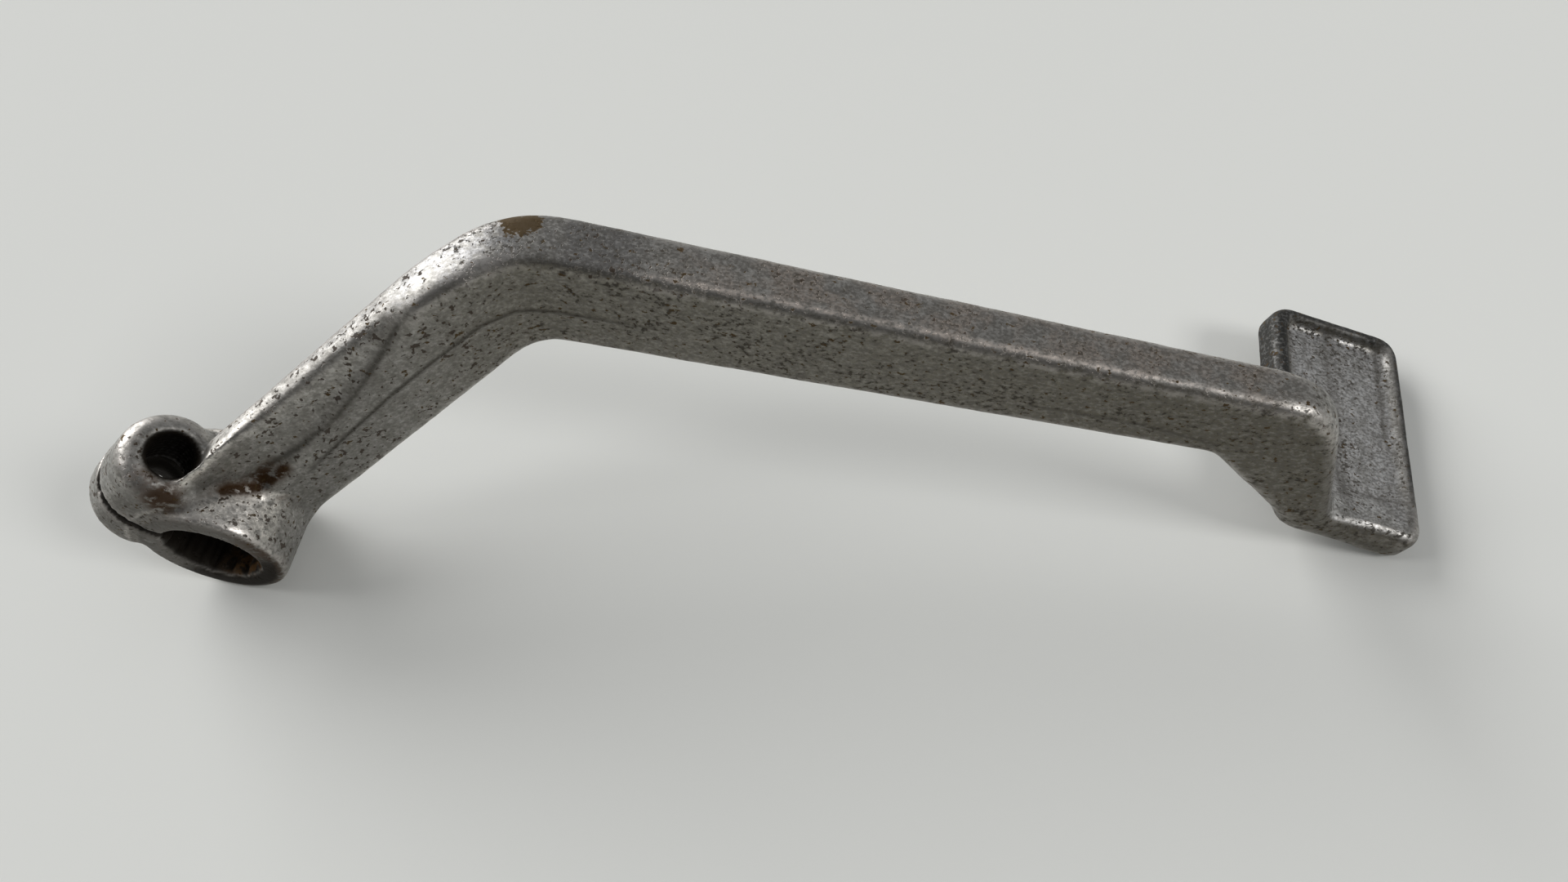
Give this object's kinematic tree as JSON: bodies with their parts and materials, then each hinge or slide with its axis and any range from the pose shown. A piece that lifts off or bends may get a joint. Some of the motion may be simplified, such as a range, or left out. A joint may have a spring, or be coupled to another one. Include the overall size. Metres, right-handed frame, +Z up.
{
  "type": "rear brake pedal",
  "caption": "Cast aluminium lever with a slit, splined clamp boss, a cranked arm and a dished foot pad, pressed by the foot to turn a motorbike's rear brake shaft.",
  "frame": {"origin": "centre of the spline bore, midway along the boss", "axes": "+X forward from the boss to the foot pad, +Y along the bore towards the foot pad's side, +Z up"},
  "size_m": [0.2085, 0.0779, 0.0499],
  "materials": {
    "cast_aluminium": "worn casting with fine pits"
  },
  "bodies": {
    "root": {"brake_pedal": "cast_aluminium"}
  },
  "joints": []
}
